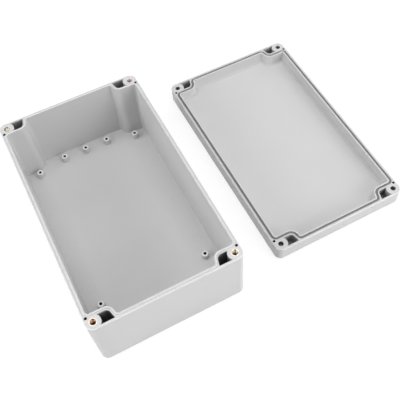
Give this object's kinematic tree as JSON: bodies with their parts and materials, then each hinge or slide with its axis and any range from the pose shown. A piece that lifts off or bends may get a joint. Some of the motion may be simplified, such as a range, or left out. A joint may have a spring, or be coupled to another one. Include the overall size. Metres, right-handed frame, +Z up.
{
  "type": "plastic project box",
  "caption": "Deep rectangular plastic enclosure with corner screw bosses, mounting wells and board standoffs, its tongue-and-groove lid lying upside down beside it.",
  "frame": {"origin": "centre of the base's underside, on the surface that it stands on", "axes": "+X across the base towards the lid, +Y along its length, +Z up out of the open base"},
  "size_m": [0.2744, 0.2098, 0.0612],
  "materials": {
    "base_plastic": "fine satin, light grey",
    "lid_plastic": "fine satin, light grey",
    "insert_brass": "turned, satin",
    "seal_rubber": "soft, dull mid grey",
    "screw_steel": "blackened, dull"
  },
  "bodies": {
    "base": {"base_shell": "base_plastic", "brass_insert_1": "insert_brass", "brass_insert_2": "insert_brass", "brass_insert_3": "insert_brass", "brass_insert_4": "insert_brass"},
    "lid": {"lid_shell": "lid_plastic", "seal_strip": "seal_rubber", "lid_screw_1": "screw_steel", "lid_screw_2": "screw_steel", "lid_screw_3": "screw_steel", "lid_screw_4": "screw_steel"}
  },
  "joints": [
    {"name": "lid_lift", "type": "slide", "parent": "base", "child": "lid", "axis": [0, 0, 1], "range_m": [0, 0.08]}
  ]
}
